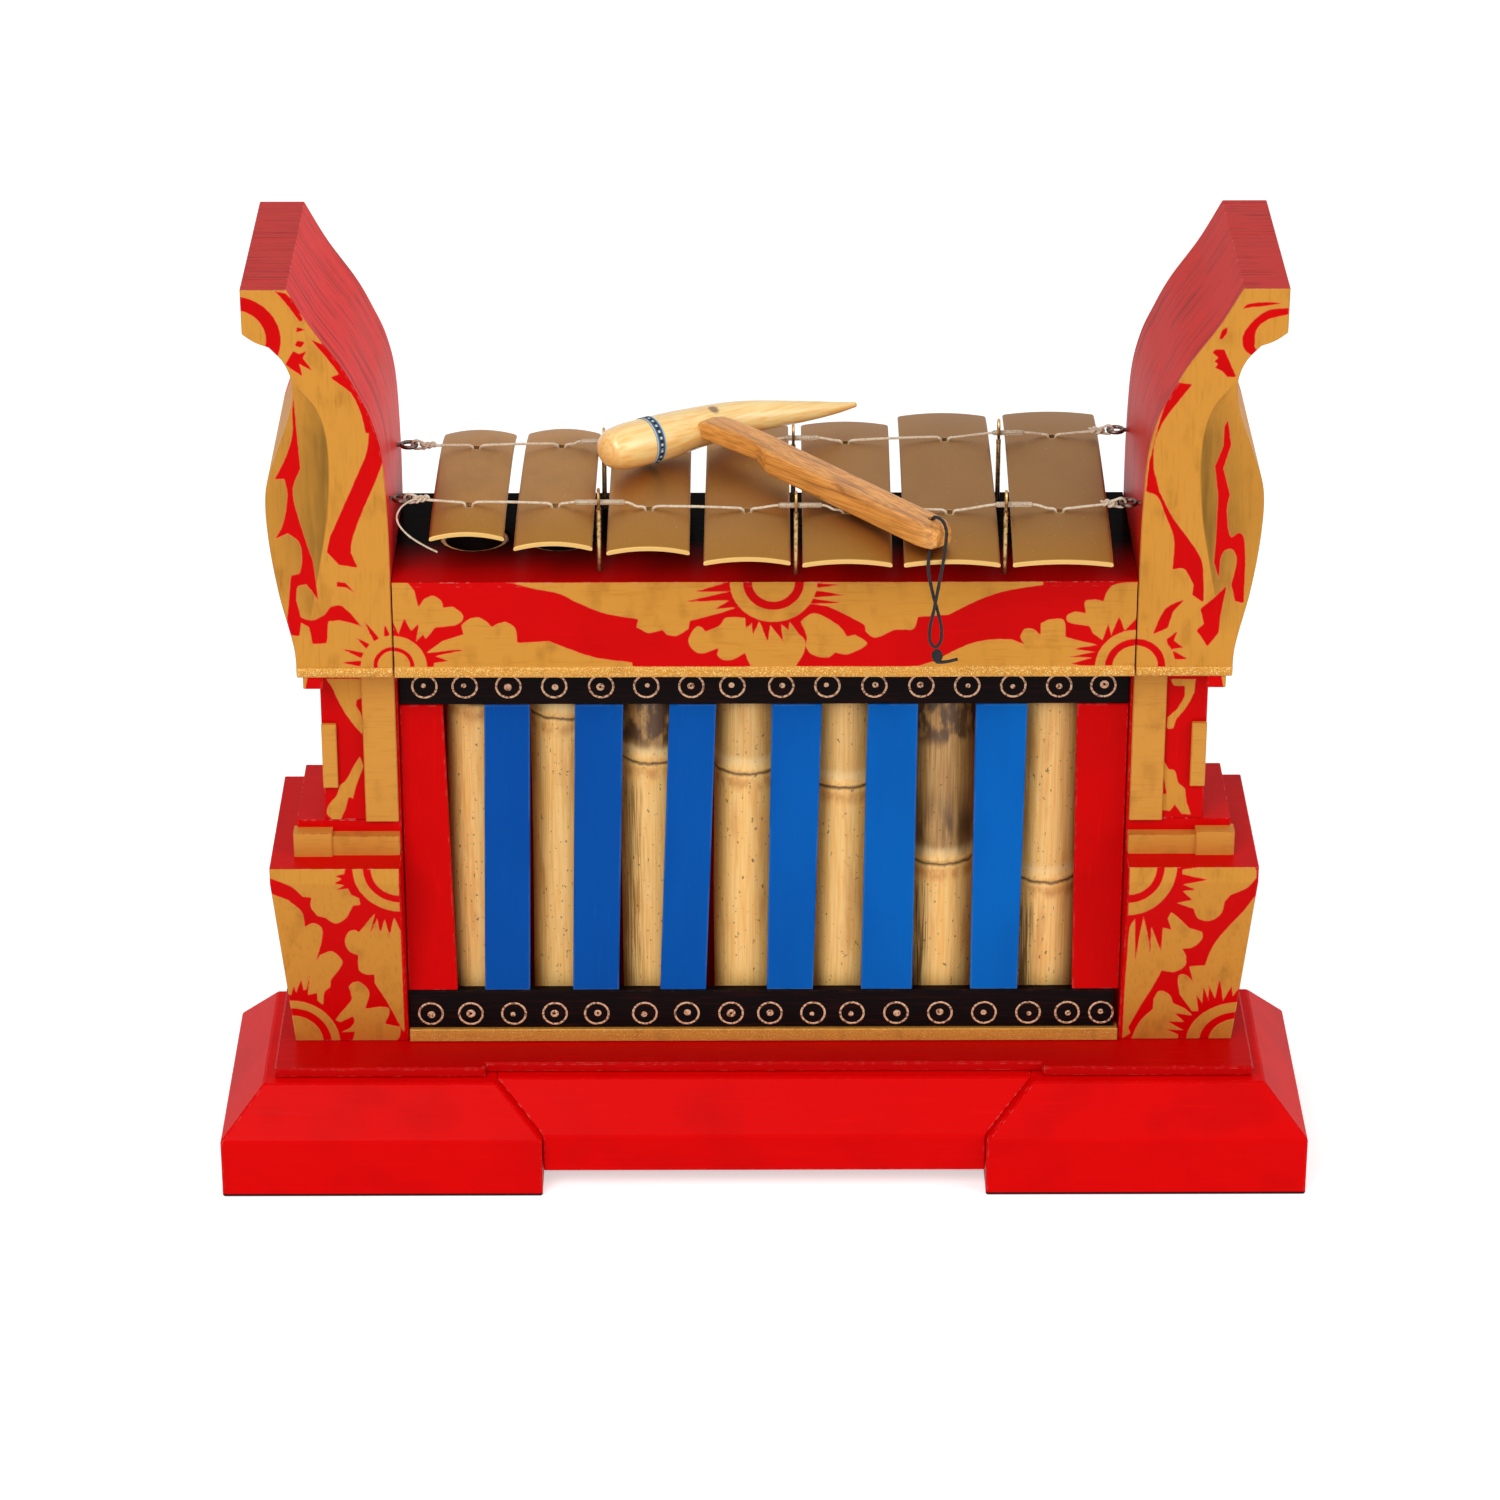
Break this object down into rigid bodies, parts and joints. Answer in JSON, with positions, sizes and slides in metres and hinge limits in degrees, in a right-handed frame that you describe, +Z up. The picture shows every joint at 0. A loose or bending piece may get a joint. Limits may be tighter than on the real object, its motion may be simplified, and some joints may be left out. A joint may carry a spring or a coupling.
{
  "type": "metallophone",
  "caption": "Small metallophone: arched metal bars hung on cords over bamboo resonators in a carved and painted wooden case with curled ends, with a horn-shaped mallet.",
  "frame": {"origin": "on the floor, under the middle of the case", "axes": "+Z up, +X along the case towards the longest bar, -Y out of the carved front"},
  "size_m": [0.52, 0.1802, 0.4579],
  "materials": {
    "red_paint": "satin red paint on carved wood, worn at the edges",
    "gold_paint": "ochre gold paint on wood",
    "black_paint": "dark lacquer with stamped gold rings",
    "blue_paint": "satin blue paint on boards",
    "bamboo": "bare dried bamboo with stains and node rings",
    "key_bronze": "brushed brown bronze",
    "pin_brass": "drawn brass wire",
    "eye_steel": "plated steel wire",
    "nylon_cord": "translucent twisted nylon",
    "varnished_wood": "light wood under gloss varnish",
    "bamboo_stick": "oiled brown bamboo",
    "patterned_band": "dark band with light dots",
    "black_cord": "matt black twisted cord"
  },
  "bodies": {
    "root": {"base_plate": "red_paint", "base_middle": "red_paint", "foot_left": "red_paint", "foot_right": "red_paint", "pedestal_left": "red_paint", "pedestal_right": "red_paint", "post_left": "red_paint", "post_right": "red_paint", "top_board": "red_paint", "frieze_front": "red_paint", "frieze_back": "red_paint", "red_board_left": "red_paint", "red_board_right": "red_paint", "back_panel": "red_paint", "batten_inner_left": "gold_paint", "batten_inner_right": "gold_paint", "batten_outer_left": "gold_paint", "batten_outer_right": "gold_paint", "bead_lower": "gold_paint", "rail_upper": "black_paint", "rail_lower": "black_paint", "blue_board_1": "blue_paint", "blue_board_2": "blue_paint", "blue_board_3": "blue_paint", "blue_board_4": "blue_paint", "blue_board_5": "blue_paint", "blue_board_6": "blue_paint", "resonator_1": "bamboo", "resonator_2": "bamboo", "resonator_3": "bamboo", "resonator_4": "bamboo", "resonator_5": "bamboo", "resonator_6": "bamboo", "resonator_7": "bamboo", "hanger_front_1": "pin_brass", "hanger_front_2": "pin_brass", "hanger_front_3": "pin_brass", "hanger_back_1": "pin_brass", "hanger_back_2": "pin_brass", "hanger_back_3": "pin_brass", "screw_eye_front_left": "eye_steel", "screw_eye_front_right": "eye_steel", "screw_eye_back_left": "eye_steel", "screw_eye_back_right": "eye_steel", "cord_front": "nylon_cord", "cord_back": "nylon_cord"},
    "key_1": {"key_1": "key_bronze"},
    "key_2": {"key_2": "key_bronze"},
    "key_3": {"key_3": "key_bronze"},
    "key_4": {"key_4": "key_bronze"},
    "key_5": {"key_5": "key_bronze"},
    "key_6": {"key_6": "key_bronze"},
    "key_7": {"key_7": "key_bronze"},
    "mallet": {"mallet_head": "varnished_wood", "mallet_handle": "bamboo_stick", "mallet_band": "patterned_band", "lanyard": "black_cord", "lanyard_knot": "black_cord"}
  },
  "joints": [
    {"name": "key_1_bob", "type": "slide", "parent": "root", "child": "key_1", "axis": [0, 0, 1], "range_m": [-0.003, 0], "stiffness_N_per_m": 1500, "springref_m": 0.002, "deforming": ["cord_front", "cord_back"]},
    {"name": "key_2_bob", "type": "slide", "parent": "root", "child": "key_2", "axis": [0, 0, 1], "range_m": [-0.003, 0], "stiffness_N_per_m": 1500, "springref_m": 0.002, "deforming": ["cord_front", "cord_back"]},
    {"name": "key_3_bob", "type": "slide", "parent": "root", "child": "key_3", "axis": [0, 0, 1], "range_m": [-0.003, 0], "stiffness_N_per_m": 1500, "springref_m": 0.002, "deforming": ["cord_front", "cord_back"]},
    {"name": "key_4_bob", "type": "slide", "parent": "root", "child": "key_4", "axis": [0, 0, 1], "range_m": [-0.003, 0], "stiffness_N_per_m": 1500, "springref_m": 0.002, "deforming": ["cord_front", "cord_back"]},
    {"name": "key_5_bob", "type": "slide", "parent": "root", "child": "key_5", "axis": [0, 0, 1], "range_m": [-0.003, 0], "stiffness_N_per_m": 1500, "springref_m": 0.002, "deforming": ["cord_front", "cord_back"]},
    {"name": "key_6_bob", "type": "slide", "parent": "root", "child": "key_6", "axis": [0, 0, 1], "range_m": [-0.003, 0], "stiffness_N_per_m": 1500, "springref_m": 0.002, "deforming": ["cord_front", "cord_back"]},
    {"name": "key_7_bob", "type": "slide", "parent": "root", "child": "key_7", "axis": [0, 0, 1], "range_m": [-0.003, 0], "stiffness_N_per_m": 1500, "springref_m": 0.002, "deforming": ["cord_front", "cord_back"]},
    {"name": "mallet_lift", "type": "slide", "parent": "root", "child": "mallet", "axis": [0, 0, 1], "range_m": [0, 0.12]}
  ]
}
